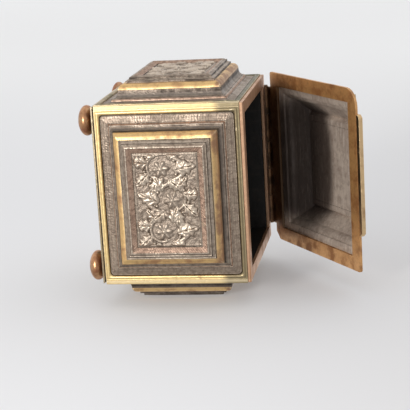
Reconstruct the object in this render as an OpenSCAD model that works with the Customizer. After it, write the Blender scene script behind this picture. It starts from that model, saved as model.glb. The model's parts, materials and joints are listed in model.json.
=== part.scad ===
// Square tinder box on four bun feet. Each side and the lid carries a stepped, pressed panel
// with a gilt moulding and a relief plaque, and the lid swings on a knuckled hinge at the back.
// Frame: +Z up through the lid, the front panel faces -Y, the origin lies between the feet on the
// plane they stand on. The lid is drawn part open, at its rest position.

/* [Case] */
// Width of the case
case_w = 90; // [80:1:110]
// Depth of the case
case_d = 90; // [80:1:110]
// Height of the side panels with their rims
panel_h = 71.7; // [64:0.1:90]
// How far the rims stay back from the case's upright corners
corner_inset = 1.7; // [1.2:0.1:3]
// How far the brass angles on the upright corners stand above the case's faces
angle_rise = 0.3; // [0.1:0.05:0.5]
// Wall of the shell behind the panels
shell_wall = 0.6; // [0.5:0.1:1]
// Wall of the blackened liner that holds the tinder
liner_wall = 0.8; // [0.6:0.1:1.2]
// Thickness of the bottom plate
plate_t = 0.9; // [0.8:0.1:2]
// Open seam between the bottom plate and the rims
plate_seam = 0.8; // [0.4:0.1:1.5]
// How far the bottom plate's edge lies inside the case's faces
plate_inset = 0.2; // [0:0.1:0.6]

/* [Mouth] */
// Width of the flat frame round the mouth
mouth_band = 6.2; // [5.5:0.1:9]
// Thickness of the mouth frame
mouth_t = 1.7; // [1.4:0.1:2.5]

/* [Panels] */
// Width of the brass rim round each panel
rim_w = 2.55; // [2:0.05:3.5]
// Height of the rim's crest above the case's face
rim_rise = 0.9; // [0.6:0.1:1.4]
// Share of the rim's width that its fine outer bead takes
rim_bead_share = 0.28; // [0.2:0.01:0.35]
// Height of that bead, as a share of the crest's height
rim_bead_level = 0.66; // [0.5:0.01:0.8]
// Height of the shallow groove beside it, as a share of the crest's height
rim_groove_level = 0.56; // [0.45:0.01:0.65]
// Height where the rim's face ends at the seam, as a share of the crest's height
rim_foot_level = 0.3; // [0.2:0.01:0.4]
// Dark seam between a rim and the pressed panel inside it
panel_seam = 0.25; // [0.1:0.05:0.4]
// Sheet thickness of the pressed panels
sheet_t = 0.7; // [0.5:0.1:0.8]
// Width of the hammered outer band
band_w = 4.2; // [3.6:0.1:5]
// Height that the hammered band climbs
band_rise = 0.9; // [0.5:0.1:1.2]
// Width of the quarter-round bead above the band
bead_w = 1; // [0.8:0.1:1.4]
// Height that the bead climbs
bead_rise = 1.3; // [1:0.1:1.8]
// Width of the hollow curve below the gilt moulding
cove_w = 2.2; // [1.8:0.1:2.8]
// Height that the hollow curve climbs
cove_rise = 3.9; // [3:0.1:4.5]
// Width of the gilt moulding
gilt_w = 3.3; // [2.6:0.1:3.8]
// Height that the gilt moulding climbs
gilt_rise = 2.9; // [2.2:0.1:3.5]
// Bulge of the gilt moulding's convex face
gilt_bulge = 0.9; // [0.4:0.05:1.2]
// Number of small steps between the gilt moulding and the ridge
step_count = 2; // [1:1:3]
// Width of each small step
step_w = 1.65; // [1.4:0.05:2]
// Height of each small step
step_rise = 1.55; // [1.2:0.05:1.8]
// Slope of a step's riser, as a share of the step
step_slope = 0.15; // [0.05:0.01:0.3]
// Width of the granular border that falls to the plaque
border_w = 3; // [2.6:0.1:3.4]
// Drop of the granular border
border_drop = 1.45; // [1:0.05:1.8]
// Width of the ledge that a plaque lies on
ledge_w = 2; // [1.5:0.1:3]
// Thickness of a plaque
plaque_t = 0.5; // [0.4:0.1:0.8]
// How far a plaque's field lies below the border's edge
plaque_sink = 0.3; // [0.1:0.05:0.5]
// Clearance round a plaque
plaque_fit = 0.15; // [0.1:0.05:0.3]

/* [Foliage on the plaques] */
// Height of the leaves and flowers above a plaque
leaf_rise = 1.15; // [0.6:0.05:1.3]
// Radius of a flower
flower_r = 4.4; // [3:0.1:4.8]
// Half width of a leaf, as a share of its length
leaf_share = 0.34; // [0.25:0.01:0.4]
// Size of a leaf's or flower's top, as a share of its foot
top_share = 0.45; // [0.3:0.05:0.7]
// Plain edge of a plaque outside the foliage
plaque_edge = 0.9; // [0.5:0.1:2]

/* [Feet] */
// Diameter of a bun foot at its widest
foot_d = 15.2; // [12:0.2:15.4]
// Height of a foot below the bottom plate
foot_h = 7.5; // [6:0.1:9]
// Distance from the case's faces to a foot's axis
foot_inset = 7.8; // [7.8:0.1:12]
// Radius of the flat that a foot stands on
foot_flat_r = 3; // [2:0.1:4]
// Radius of the riveted stem of a foot
stem_r = 1.5; // [1:0.1:2]
// Radial clearance of a stem in the bottom plate
stem_fit = 0.05; // [0.02:0.01:0.1]
// Radius of the washer that a stem is riveted over
washer_r = 3.2; // [2.6:0.1:3.3]
// Thickness of a washer
washer_t = 0.8; // [0.5:0.1:1.2]

/* [Lid] */
// Angle that the lid stands open at rest
lid_open = 35; // [0:1:110]
// How far the lid's sides reach past the case
lid_overhang = 1.4; // [0:0.1:2]
// How far the closed lid's free edge stays behind the case's front
lid_setback = 2.4; // [0:0.1:3]
// Thickness of the lid's frame
lid_t = 1.3; // [1:0.1:2]
// Width of the lid's frame round the hollow
lid_band = 7.2; // [6.6:0.1:8]
// Distance from the lid's edges to the rim on it
lid_margin = 3; // [2.8:0.1:3.6]
// Gap between the closed lid and the mouth
lid_gap = 0.2; // [0.1:0.05:0.3]
// Radius of the worn free corner at the left
worn_corner_r = 9; // [2:0.5:9]
// Radius of the other corners
corner_r = 1.2; // [0.8:0.1:3]
// Cut across the hinge corner at the right
corner_cut = 4; // [1:0.5:4]
// Left end of the thumb lip, from the middle of the lid
lip_left = 34; // [20:0.5:35]
// Right end of the thumb lip, from the middle of the lid
lip_right = 27.5; // [20:0.5:35]
// How far the thumb lip stands out from the free edge
lip_reach = 2.9; // [1:0.1:4]
// Thickness of the thumb lip's tongue over the lid's frame
lip_t = 1; // [0.8:0.1:2]
// Cut across each end of the thumb lip
lip_cut = 1.6; // [0.5:0.1:2.5]

/* [Hinge] */
// Distance from the case's back face to the hinge's axis
hinge_out = 3.9; // [3.2:0.1:6]
// Distance from the hinge's axis to the lid's frame
lid_back = 5.4; // [3.5:0.1:7]
// Length of the hinge
hinge_len = 76; // [50:1:78]
// Number of knuckles
knuckle_count = 5; // [3:2:9]
// Radius of the knuckles
knuckle_r = 1.7; // [1.4:0.1:2]
// Gap between neighbouring knuckles
knuckle_gap = 0.3; // [0.2:0.05:0.5]
// Thickness of the hinge's leaves
leaf_t = 1.2; // [0.8:0.1:1.4]
// Radius of the hinge pin
pin_r = 0.8; // [0.6:0.05:0.9]
// Radial clearance of the pin in its knuckles
pin_fit = 0.05; // [0.02:0.01:0.1]
// Radius of the pin's riveted heads
head_r = 1.3; // [1.2:0.1:1.5]
// Thickness of the pin's riveted heads
head_t = 0.6; // [0.4:0.1:1]
// Clearance between the barrel and the leaf beside it
barrel_clear = 0.3; // [0.2:0.05:0.5]

/* [Hidden] */
// Half of a leaf's outline, as shares of its length from its middle and of its half width
LEAF_OUTLINE = [[-0.5, 0], [-0.28, 0.8], [0, 1], [0.3, 0.6], [0.5, 0]];
// The main leaves of a bay: the direction that each springs in, and its length
LEAVES = [[62, 9.5], [110, 9.5], [212, 9.5], [262, 11.5]];
// How far each leaf leans from the direction that it springs in
leaf_lean = 31;
// The ring that the leaves spring from, as shares of a bay's length, and a bay's shift to the side
ring_w = 0.4;
ring_h = 0.42;
bay_shift = 2.4;
$fn = 64;
arc_steps = 6;
rim_facets = 6;
flower_sides = 12;
eps = 0.01;

plate_z = foot_h;
shell_z = plate_z + plate_t;
rims_z = shell_z + plate_seam;
mouth_z = rims_z + panel_h + mouth_t;
field_z = rims_z + panel_h / 2;
half_w = case_w / 2;
half_d = case_d / 2;
liner_half_w = half_w - mouth_band;
liner_half_d = half_d - mouth_band;
liner_z = shell_z + washer_t;

hinge_y = half_d + hinge_out;
hinge_z = mouth_z + lid_gap / 2;
leaf_end = knuckle_r + barrel_clear;
knuckle_pitch = hinge_len / knuckle_count;

lid_w = case_w + 2 * lid_overhang;
lid_d = case_d + hinge_out - lid_back - lid_setback;
lid_mid_y = -lid_back - lid_d / 2;
lid_low = lid_gap / 2;

front = 0;
right = 90;
back = 180;
left = 270;

// Places along the panels' profile, as distances in from the rim's outer edge
band_at = rim_w + panel_seam;
bead_at = band_at + band_w;
cove_at = bead_at + bead_w;
gilt_at = cove_at + cove_w;
steps_at = gilt_at + gilt_w;
ridge_at = steps_at + step_count * step_w;
plaque_at = ridge_at + border_w;

// Heights at those places, above the face that the panel lies on
bead_h = band_rise;
cove_h = bead_h + bead_rise;
gilt_h = cove_h + cove_rise;
steps_h = gilt_h + gilt_rise;
ridge_h = steps_h + step_count * step_rise;
border_h = ridge_h - border_drop;
ledge_h = border_h - plaque_sink - plaque_t;

function quarter(n) = [for (i = [1:n]) 90 * i / n];
function bead_curve() = [for (a = quarter(3))
    [bead_at + bead_w * (1 - cos(a)), bead_h + bead_rise * sin(a)]];
function cove_curve() = [for (a = quarter(4))
    [cove_at + cove_w * sin(a), cove_h + cove_rise * (1 - cos(a))]];
function small_steps() = [for (i = [0:step_count - 1], end = [step_slope, 1]) [
    steps_at + (i + end) * step_w,
    steps_h + (i + (end == 1 ? 1 : 1 - step_slope)) * step_rise
]];

// The climbing part of a pressed panel's face, from its outer edge to the ridge
function climb() = concat(
    [[band_at, 0], [bead_at, bead_h]], bead_curve(), cove_curve(), [[steps_at, steps_h]], small_steps()
);

function panel_profile() = concat(
    climb(),
    [[ridge_at + sheet_t / 2, ridge_h], [plaque_at, border_h], [plaque_at, ledge_h],
     [plaque_at + ledge_w, ledge_h], [plaque_at + ledge_w, ledge_h - sheet_t],
     [plaque_at - sheet_t, ledge_h - sheet_t]],
    [for (i = [len(climb()) - 1:-1:0]) climb()[i] + [sheet_t, -sheet_t]],
    [[band_at, -sheet_t]]
);

// The gilt moulding is a circular segment that stands on the panel's slope
function gilt_profile() = let (
    foot = [gilt_at, gilt_h],
    span = [gilt_w, gilt_rise],
    out = [-gilt_rise, gilt_w] / norm(span)
) [for (t = [0:0.125:1]) foot + t * span + out * gilt_bulge * 4 * t * (1 - t)];

// A fine outer bead, a shallow groove and a broad convex face
function rim_profile() = let (
    bead = rim_bead_share * rim_w,
    face = rim_w - bead,
    groove = rim_groove_level * rim_rise,
    low = rim_foot_level * rim_rise
) concat(
    [[0, -sheet_t], [0, groove], [bead / 2, rim_bead_level * rim_rise], [bead, groove]],
    [for (i = [1:rim_facets - 1]) let (t = i / rim_facets, foot = groove + (low - groove) * t)
        [bead + face * t, foot + (rim_rise - foot) * sqrt(sin(180 * t))]],
    [[rim_w, low], [rim_w, -sheet_t]]
);

// A closed profile of [inset, height] points, run round a rectangle with mitred corners
module mitred_frame(w, h, profile) {
    n = len(profile);
    corners = [[-1, -1], [1, -1], [1, 1], [-1, 1]];
    points = [for (c = corners, p = profile) [c[0] * (w / 2 - p[0]), c[1] * (h / 2 - p[0]), p[1]]];
    faces = [for (s = [0:3], i = [0:n - 1]) let (
        j = (i + 1) % n,
        a = s * n,
        b = ((s + 1) % 4) * n
    ) each [[a + i, a + j, b + j], [a + i, b + j, b + i]]];
    polyhedron(points, faces);
}

module slab(w, d, t) {
    linear_extrude(t) square([w, d], center = true);
}

module rim(w, h) {
    color("goldenrod") mitred_frame(w, h, rim_profile());
}

module panel(w, h) {
    color("dimgray") mitred_frame(w, h, panel_profile());
}

module molding(w, h) {
    color("gold") mitred_frame(w, h, gilt_profile());
}

// A leaf that tapers to its top, drawn from its foot towards +X
module leaf(length) {
    half = leaf_share * length;
    translate([length / 2, 0, 0]) linear_extrude(leaf_rise + plaque_t, scale = top_share)
        for (side = [-1, 1])
            polygon([for (p = LEAF_OUTLINE) [p[0] * length, side * p[1] * half]]);
}

// A flower in each of three bays, with leaves that spring from the ring round it. The middle bay is
// turned over against its neighbours, and flip turns over the whole design.
module foliage(w, h, flip) {
    bay = w / 3;
    for (k = [-1:1]) let (side = flip * (k == 0 ? 1 : -1)) translate([k * bay, -side * bay_shift]) {
        cylinder(h = leaf_rise + plaque_t, r1 = flower_r, r2 = flower_r * top_share,
                 $fn = flower_sides);
        for (place = LEAVES) let (turned = 180 + side * place[0])
            translate([bay * ring_w * cos(turned), bay * ring_h * sin(turned)])
                rotate(turned + side * leaf_lean) leaf(place[1]);
    }
}

// The back of a plaque fills the opening inside the ledge, and foliage stands on its face
module plaque(w, h, flip) {
    field_w = w - 2 * (plaque_at + plaque_fit);
    field_h = h - 2 * (plaque_at + plaque_fit);
    color("silver") translate([0, 0, ledge_h]) {
        slab(field_w, field_h, plaque_t);
        translate([0, 0, -sheet_t])
            slab(field_w - 2 * ledge_w, field_h - 2 * ledge_w, sheet_t + plaque_t / 2);
        intersection() {
            translate([0, 0, eps]) foliage(field_w, field_h, flip);
            slab(field_w - 2 * plaque_edge, field_h - 2 * plaque_edge, 2 * leaf_rise + plaque_t);
        }
    }
}

// Stands a piece that is drawn flat against one side of the case
module on_side(turn, reach) {
    rotate([0, 0, turn]) translate([0, -reach, field_z]) rotate([90, 0, 0]) children();
}

module on_lid() {
    translate([0, hinge_y, hinge_z]) rotate([-lid_open, 0, 0]) children();
}

module on_lid_top() {
    on_lid() translate([0, lid_mid_y, lid_low + lid_t]) children();
}

module bottom_plate() {
    color("peru") difference() {
        translate([0, 0, plate_z]) slab(case_w - 2 * plate_inset, case_d - 2 * plate_inset, plate_t);
        for (x = [-1, 1], y = [-1, 1])
            translate([x * (half_w - foot_inset), y * (half_d - foot_inset), plate_z - eps])
                cylinder(h = plate_t + 2 * eps, r = stem_r + stem_fit);
    }
}

// The outline bulges out from the flat that it stands on and draws in again at the plate
module foot(x, y) {
    mid = foot_h / 2;
    start = -acos(foot_flat_r / (foot_d / 2));
    color("saddlebrown") translate([x * (half_w - foot_inset), y * (half_d - foot_inset), 0]) {
        rotate_extrude() polygon(concat(
            [[0, 0]],
            [for (i = [0:12]) let (a = start * (1 - i / 6))
                [foot_d / 2 * cos(a), mid + mid * sin(a) / sin(-start)]],
            [[0, foot_h]]
        ));
        translate([0, 0, foot_h]) cylinder(h = plate_t + washer_t, r = stem_r);
    }
}

module foot_front_left() foot(-1, -1);
module foot_front_right() foot(1, -1);
module foot_back_left() foot(-1, 1);
module foot_back_right() foot(1, 1);

module foot_washers() {
    color("brown")
    for (x = [-1, 1], y = [-1, 1])
        translate([x * (half_w - foot_inset), y * (half_d - foot_inset), shell_z]) difference() {
            cylinder(h = washer_t, r = washer_r);
            translate([0, 0, -eps]) cylinder(h = washer_t + 2 * eps, r = stem_r + stem_fit);
        }
}

module outer_shell() {
    wall_w = case_w - 2 * sheet_t;
    wall_d = case_d - 2 * sheet_t;
    shell_h = mouth_z - mouth_t - shell_z;
    color("darkolivegreen") translate([0, 0, shell_z]) difference() {
        slab(wall_w, wall_d, shell_h);
        translate([0, 0, -eps]) slab(wall_w - 2 * shell_wall, wall_d - 2 * shell_wall, shell_h + 2 * eps);
    }
}

// Brass angles cover the shell's upright corners between the rims
module corner_angles() {
    angle = [
        [-corner_inset, angle_rise], [0, angle_rise], [angle_rise, 0], [angle_rise, -corner_inset],
        [-sheet_t, -corner_inset], [-sheet_t, -sheet_t], [-corner_inset, -sheet_t]
    ];
    color("gold") for (x = [-1, 1], y = [-1, 1])
        translate([0, 0, rims_z]) linear_extrude(panel_h)
            polygon([for (p = angle) [x * (half_w + p[0]), y * (half_d + p[1])]]);
}

module inner_case() {
    liner_h = mouth_z - mouth_t - liner_z;
    color("black") translate([0, 0, liner_z]) difference() {
        slab(2 * (liner_half_w + liner_wall), 2 * (liner_half_d + liner_wall), liner_h);
        translate([0, 0, liner_wall]) slab(2 * liner_half_w, 2 * liner_half_d, liner_h);
    }
}

module mouth_frame() {
    color("sienna") translate([0, 0, mouth_z - mouth_t]) difference() {
        slab(case_w, case_d, mouth_t);
        translate([0, 0, -eps]) slab(2 * liner_half_w, 2 * liner_half_d, mouth_t + 2 * eps);
    }
}

module side_rim(turn, reach, w) on_side(turn, reach) rim(w - 2 * corner_inset, panel_h);
module side_panel(turn, reach, w) on_side(turn, reach) panel(w - 2 * corner_inset, panel_h);
module side_molding(turn, reach, w) on_side(turn, reach) molding(w - 2 * corner_inset, panel_h);
module side_plaque(turn, reach, w, flip) on_side(turn, reach)
    plaque(w - 2 * corner_inset, panel_h, flip);

module front_rim() side_rim(front, half_d, case_w);
module front_panel() side_panel(front, half_d, case_w);
module front_molding() side_molding(front, half_d, case_w);
module front_plaque() side_plaque(front, half_d, case_w, -1);
module right_rim() side_rim(right, half_w, case_d);
module right_panel() side_panel(right, half_w, case_d);
module right_molding() side_molding(right, half_w, case_d);
module right_plaque() side_plaque(right, half_w, case_d, 1);
module back_rim() side_rim(back, half_d, case_w);
module back_panel() side_panel(back, half_d, case_w);
module back_molding() side_molding(back, half_d, case_w);
module back_plaque() side_plaque(back, half_d, case_w, -1);
module left_rim() side_rim(left, half_w, case_d);
module left_panel() side_panel(left, half_w, case_d);
module left_molding() side_molding(left, half_w, case_d);
module left_plaque() side_plaque(left, half_w, case_d, 1);

// Counter-clockwise arc round a corner of the lid
function corner_arc(x, y, r, from) = [for (i = [0:arc_steps]) let (a = from + 90 * i / arc_steps)
    [x + r * cos(a), y + r * sin(a)]];

function lid_outline() = let (x = lid_w / 2, y = lid_d / 2) concat(
    corner_arc(-x + worn_corner_r, -y + worn_corner_r, worn_corner_r, 180),
    corner_arc(x - corner_r, -y + corner_r, corner_r, 270),
    [[x, y - corner_cut], [x - corner_cut, y]],
    corner_arc(-x + corner_r, y - corner_r, corner_r, 90)
);

module lid_frame() {
    color("darkgoldenrod") on_lid() translate([0, lid_mid_y, lid_low]) linear_extrude(lid_t) difference() {
        polygon(lid_outline());
        square([lid_w - 2 * lid_band, lid_d - 2 * lid_band], center = true);
    }
}

module lid_rim() {
    on_lid_top() translate([0, 0, sheet_t]) rim(lid_w - 2 * lid_margin, lid_d - 2 * lid_margin);
}

module lid_panel() {
    on_lid_top() translate([0, 0, sheet_t]) panel(lid_w - 2 * lid_margin, lid_d - 2 * lid_margin);
}

module lid_molding() {
    on_lid_top() translate([0, 0, sheet_t]) molding(lid_w - 2 * lid_margin, lid_d - 2 * lid_margin);
}

module lid_plaque() {
    on_lid_top() translate([0, 0, sheet_t])
        plaque(lid_w - 2 * lid_margin, lid_d - 2 * lid_margin, -1);
}

// A strip along the free edge, with a tongue that lies on the lid's frame
module thumb_lip() {
    edge = -lid_back - lid_d;
    tongue = lid_margin - barrel_clear;
    color("goldenrod") on_lid() translate([0, edge, lid_low]) {
        linear_extrude(lid_t + lip_t) polygon([
            [-lip_left, 0], [-lip_left, lip_cut - lip_reach], [lip_cut - lip_left, -lip_reach],
            [lip_right - lip_cut, -lip_reach], [lip_right, lip_cut - lip_reach], [lip_right, 0]
        ]);
        translate([-lip_left, -eps, lid_t]) cube([lip_left + lip_right, tongue + eps, lip_t]);
    }
}

// Knuckles first, first + 2 and so on, with their leaf towards -Y below (side -1) or above the axis
module hinge_half(first, side, reach) {
    low = side > 0 ? lid_low : -lid_low - leaf_t;
    difference() {
        union() {
            translate([-hinge_len / 2, -reach, low]) cube([hinge_len, reach - leaf_end, leaf_t]);
            for (i = [first:2:knuckle_count - 1])
                translate([i * knuckle_pitch - hinge_len / 2 + knuckle_gap / 2, 0, 0]) {
                    rotate([0, 90, 0]) cylinder(h = knuckle_pitch - knuckle_gap, r = knuckle_r);
                    translate([0, -leaf_end - eps, low])
                        cube([knuckle_pitch - knuckle_gap, leaf_end + eps, leaf_t]);
                }
        }
        translate([-hinge_len / 2 - eps, 0, 0]) rotate([0, 90, 0])
            cylinder(h = hinge_len + 2 * eps, r = pin_r + pin_fit);
    }
}

module hinge_case_leaf() {
    color("saddlebrown") translate([0, hinge_y, hinge_z]) hinge_half(0, -1, hinge_out);
}

module hinge_lid_leaf() {
    color("saddlebrown") on_lid() hinge_half(1, 1, lid_back);
}

module hinge_pin() {
    color("darkgoldenrod") translate([0, hinge_y, hinge_z]) rotate([0, 90, 0]) {
        cylinder(h = hinge_len, r = pin_r, center = true);
        for (side = [-1, 1])
            translate([0, 0, side * (hinge_len + head_t) / 2])
                cylinder(h = head_t, r = head_r, center = true);
    }
}

bottom_plate();
foot_front_left();
foot_front_right();
foot_back_left();
foot_back_right();
foot_washers();
outer_shell();
corner_angles();
inner_case();
mouth_frame();
front_rim();
front_panel();
front_molding();
front_plaque();
right_rim();
right_panel();
right_molding();
right_plaque();
back_rim();
back_panel();
back_molding();
back_plaque();
left_rim();
left_panel();
left_molding();
left_plaque();
lid_frame();
lid_rim();
lid_panel();
lid_molding();
lid_plaque();
thumb_lip();
hinge_case_leaf();
hinge_lid_leaf();
hinge_pin();
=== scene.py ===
# %% [markdown]
# # A square tinder box in old brass
# The box is a lined case with a pressed, stepped panel on every side, four bun feet and a hinged lid.
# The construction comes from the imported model, and this file gives each piece its finish. Everything
# is in metres, in the model's frame: +Z up through the lid, -Y out of the front panel.

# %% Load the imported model
import json
import math

import bmesh
import bpy
import numpy as np
from mathutils import Matrix, Vector, noise


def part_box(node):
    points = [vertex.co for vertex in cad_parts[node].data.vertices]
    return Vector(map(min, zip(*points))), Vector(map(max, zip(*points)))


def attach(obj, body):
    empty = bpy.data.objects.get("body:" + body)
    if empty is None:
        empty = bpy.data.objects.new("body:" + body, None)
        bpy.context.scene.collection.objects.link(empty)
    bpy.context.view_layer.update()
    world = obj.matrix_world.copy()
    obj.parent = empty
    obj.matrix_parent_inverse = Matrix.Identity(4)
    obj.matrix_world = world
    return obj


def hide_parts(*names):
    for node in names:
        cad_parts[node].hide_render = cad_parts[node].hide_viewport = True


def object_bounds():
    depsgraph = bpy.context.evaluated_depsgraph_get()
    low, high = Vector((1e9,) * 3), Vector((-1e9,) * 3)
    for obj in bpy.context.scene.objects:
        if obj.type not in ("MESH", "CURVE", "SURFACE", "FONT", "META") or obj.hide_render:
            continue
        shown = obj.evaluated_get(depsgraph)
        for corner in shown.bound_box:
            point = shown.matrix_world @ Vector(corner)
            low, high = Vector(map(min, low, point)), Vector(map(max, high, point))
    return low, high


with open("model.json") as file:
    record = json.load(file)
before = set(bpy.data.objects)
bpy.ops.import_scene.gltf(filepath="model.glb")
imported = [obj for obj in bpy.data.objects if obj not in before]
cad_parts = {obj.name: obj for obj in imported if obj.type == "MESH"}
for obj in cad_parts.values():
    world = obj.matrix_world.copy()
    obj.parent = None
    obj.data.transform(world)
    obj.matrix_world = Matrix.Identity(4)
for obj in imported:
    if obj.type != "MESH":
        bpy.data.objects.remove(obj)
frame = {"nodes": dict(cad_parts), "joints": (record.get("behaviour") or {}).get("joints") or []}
cad_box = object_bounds()
MM = 0.001

# %% [markdown]
# ## The camera and the pale sheet
# In the photograph the box lies on its right side. The camera could turn the box, but the model has to
# stand still in its own frame, so the camera takes the quarter turn: its up direction is -X. The table
# becomes a pale sheet that touches the right panel's ridge. The sheet is see-through from behind, so that
# the right side can be seen too, and it is left out of the light that falls on the box.

# %% Camera
CAMERA_AT = Vector((-151.3, -687.1, 171.4)) * MM
CAMERA_AIM = Vector((5.2, -45.0, 61.6)) * MM
CAMERA_UP = Vector((-1, 0, 0))
CAMERA_ROLL = math.radians(3.4)
LENS_MM = 120.2

camera = bpy.data.objects.new("camera", bpy.data.cameras.new("camera"))
bpy.context.collection.objects.link(camera)
bpy.context.scene.camera = camera
camera.data.lens = LENS_MM
camera.data.sensor_width = 36
forward = (CAMERA_AIM - CAMERA_AT).normalized()
across = forward.cross(CAMERA_UP).normalized()
upward = across.cross(forward)
tilted_up = upward * math.cos(CAMERA_ROLL) + across * math.sin(CAMERA_ROLL)
tilted_right = forward.cross(tilted_up)
turn = Matrix((tilted_right, tilted_up, -forward)).transposed().to_4x4()
camera.matrix_world = Matrix.Translation(CAMERA_AT) @ turn
print("camera distance:", round((CAMERA_AIM - CAMERA_AT).length, 3))


# %% Short forms for shader nodes
def add_node(tree, kind, settings=None, **inputs):
    """Adds a shader node. Inputs are named with underscores for spaces, and take a value or a socket."""
    made = tree.nodes.new(kind)
    for name, value in (settings or {}).items():
        setattr(made, name, value)
    for name, value in inputs.items():
        plug(tree, made.inputs[name.replace("_", " ")], value)
    return made


def plug(tree, socket, value):
    if isinstance(value, bpy.types.NodeSocket):
        tree.links.new(value, socket)
    elif isinstance(value, tuple) and len(value) == 3 and socket.type == "RGBA":
        socket.default_value = (*value, 1)
    else:
        socket.default_value = value


def mix_colour(tree, factor, a, b, how="MIX"):
    made = tree.nodes.new("ShaderNodeMix")
    made.data_type = "RGBA"
    made.blend_type = how
    plug(tree, made.inputs[0], factor)
    plug(tree, made.inputs[6], a)
    plug(tree, made.inputs[7], b)
    return made.outputs[2]


def maths(tree, what, a, b=0.0, c=0.0):
    made = tree.nodes.new("ShaderNodeMath")
    made.operation = what
    for socket, value in zip(made.inputs, (a, b, c)):
        plug(tree, socket, value)
    return made.outputs[0]


def spread(tree, value, low, high, to_low=0.0, to_high=1.0):
    """Maps low..high to to_low..to_high, with soft ends, and holds there outside."""
    made = add_node(tree, "ShaderNodeMapRange", {"interpolation_type": "SMOOTHSTEP"}, Value=value)
    made.inputs["From Min"].default_value = low
    made.inputs["From Max"].default_value = high
    made.inputs["To Min"].default_value = to_low
    made.inputs["To Max"].default_value = to_high
    return made.outputs[0]


# %% The sheet, the world and the lamps
SHEET_GAP = 0.1 * MM
SHEET_SIZE = 6.0
# The sheet's tones; the one on the +Z side is darker, as painted shade.
SHEET_LEFT = (0.655, 0.655, 0.665)
SHEET_RIGHT_SHADED = (0.58, 0.57, 0.57)
SHEET_FAR = (0.75, 0.75, 0.75)
SHEET_GLOW = 0.25


def pale_sheet():
    bm = bmesh.new()
    bmesh.ops.create_grid(bm, x_segments=1, y_segments=1, size=SHEET_SIZE / 2)
    bmesh.ops.rotate(bm, verts=bm.verts, matrix=Matrix.Rotation(math.radians(-90), 3, "Y"))
    bmesh.ops.translate(bm, verts=bm.verts, vec=(cad_box[1][0] + SHEET_GAP, 0, 0))
    mesh = bpy.data.meshes.new("pale_sheet")
    bm.to_mesh(mesh)
    bm.free()
    sheet = bpy.data.objects.new("pale_sheet", mesh)
    bpy.context.collection.objects.link(sheet)
    paper = bpy.data.materials.new("pale_paper")
    paper.use_nodes = True
    tree = paper.node_tree
    tree.nodes.clear()
    place = add_node(tree, "ShaderNodeTexCoord").outputs["Object"]
    parts = add_node(tree, "ShaderNodeSeparateXYZ", Vector=place)
    # Painted shade: the sheet is darker towards +Z.
    near = mix_colour(tree, spread(tree, parts.outputs["Z"], 0.02, 0.30), SHEET_LEFT, SHEET_RIGHT_SHADED)
    tone = mix_colour(tree, spread(tree, parts.outputs["Y"], 0.1, 1.0), near, SHEET_FAR)
    matt = add_node(tree, "ShaderNodeBsdfPrincipled", Base_Color=tone, Roughness=0.9)
    matt.inputs["Specular IOR Level"].default_value = 0.1
    plug(tree, matt.inputs["Emission Color"], tone)
    matt.inputs["Emission Strength"].default_value = SHEET_GLOW
    clear = add_node(tree, "ShaderNodeBsdfTransparent")
    behind = add_node(tree, "ShaderNodeNewGeometry").outputs["Backfacing"]
    faded = maths(tree, "MAXIMUM", behind, spread(tree, parts.outputs["Y"], 0.9, 2.6))
    choice = tree.nodes.new("ShaderNodeMixShader")
    tree.links.new(faded, choice.inputs[0])
    tree.links.new(matt.outputs[0], choice.inputs[1])
    tree.links.new(clear.outputs[0], choice.inputs[2])
    out = tree.nodes.new("ShaderNodeOutputMaterial")
    tree.links.new(choice.outputs[0], out.inputs["Surface"])
    mesh.materials.append(paper)
    sheet.visible_diffuse = False
    sheet.visible_shadow = False
    sheet.visible_glossy = False
    return sheet


def pale_world():
    """A pale room, brightest above the box as it lies (-X) and behind it (+Y), dimmer round the camera."""
    world = bpy.data.worlds.new("pale_room")
    bpy.context.scene.world = world
    world.use_nodes = True
    tree = world.node_tree
    tree.nodes.clear()
    place = add_node(tree, "ShaderNodeTexCoord").outputs["Generated"]
    parts = add_node(tree, "ShaderNodeSeparateXYZ", Vector=place)
    above = spread(tree, parts.outputs["X"], -0.2, 0.7, 1.0, 0.68)
    behind = spread(tree, parts.outputs["Y"], -1.0, 0.4, 0.62, 1.0)
    room = maths(tree, "MULTIPLY", above, behind)
    light = add_node(tree, "ShaderNodeBackground", Color=(0.935, 0.94, 0.95), Strength=room)
    out = tree.nodes.new("ShaderNodeOutputWorld")
    tree.links.new(light.outputs[0], out.inputs["Surface"])


def soft_lamp(name, at_mm, aim_mm, size_mm, watts, colour=(1, 1, 1)):
    lamp = bpy.data.objects.new(name, bpy.data.lights.new(name, "AREA"))
    bpy.context.collection.objects.link(lamp)
    lamp.data.shape = "DISK"
    lamp.data.size = size_mm * MM
    lamp.data.energy = watts
    lamp.data.color = colour
    at = Vector(at_mm) * MM
    way = Vector(aim_mm) * MM - at
    lamp.matrix_world = Matrix.Translation(at) @ way.to_track_quat("-Z", "Y").to_matrix().to_4x4()


bpy.context.scene.view_settings.view_transform = "Standard"
pale_sheet()
pale_world()
soft_lamp("window", (-231, -990, -358), (0, 0, 60), 260, 6.4, (1.0, 0.98, 0.95))

# %% [markdown]
# ## Shared effects
# Old brass is never one colour. Three effects come back in every metal: blotches of tarnish, a beaten or
# chased surface, and fine scratches. Each could be painted into every material again, but a node group
# with named inputs is built once and takes its own values wherever it is placed.

# %% Node groups
def new_group(name, inputs, outputs):
    """Makes an empty group. inputs maps a name to (socket type, default), outputs a name to a type."""
    tree = bpy.data.node_groups.new(name, "ShaderNodeTree")
    for label, (kind, default) in inputs.items():
        socket = tree.interface.new_socket(label, in_out="INPUT", socket_type=kind)
        if default is not None:
            socket.default_value = default
    for label, kind in outputs.items():
        tree.interface.new_socket(label, in_out="OUTPUT", socket_type=kind)
    start = tree.nodes.new("NodeGroupInput")
    end = tree.nodes.new("NodeGroupOutput")
    return tree, start.outputs, end.inputs


def use_group(tree, group, **inputs):
    made = tree.nodes.new("ShaderNodeGroup")
    made.node_tree = group
    for name, value in inputs.items():
        plug(tree, made.inputs[name.replace("_", " ")], value)
    return made.outputs[0]


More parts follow.
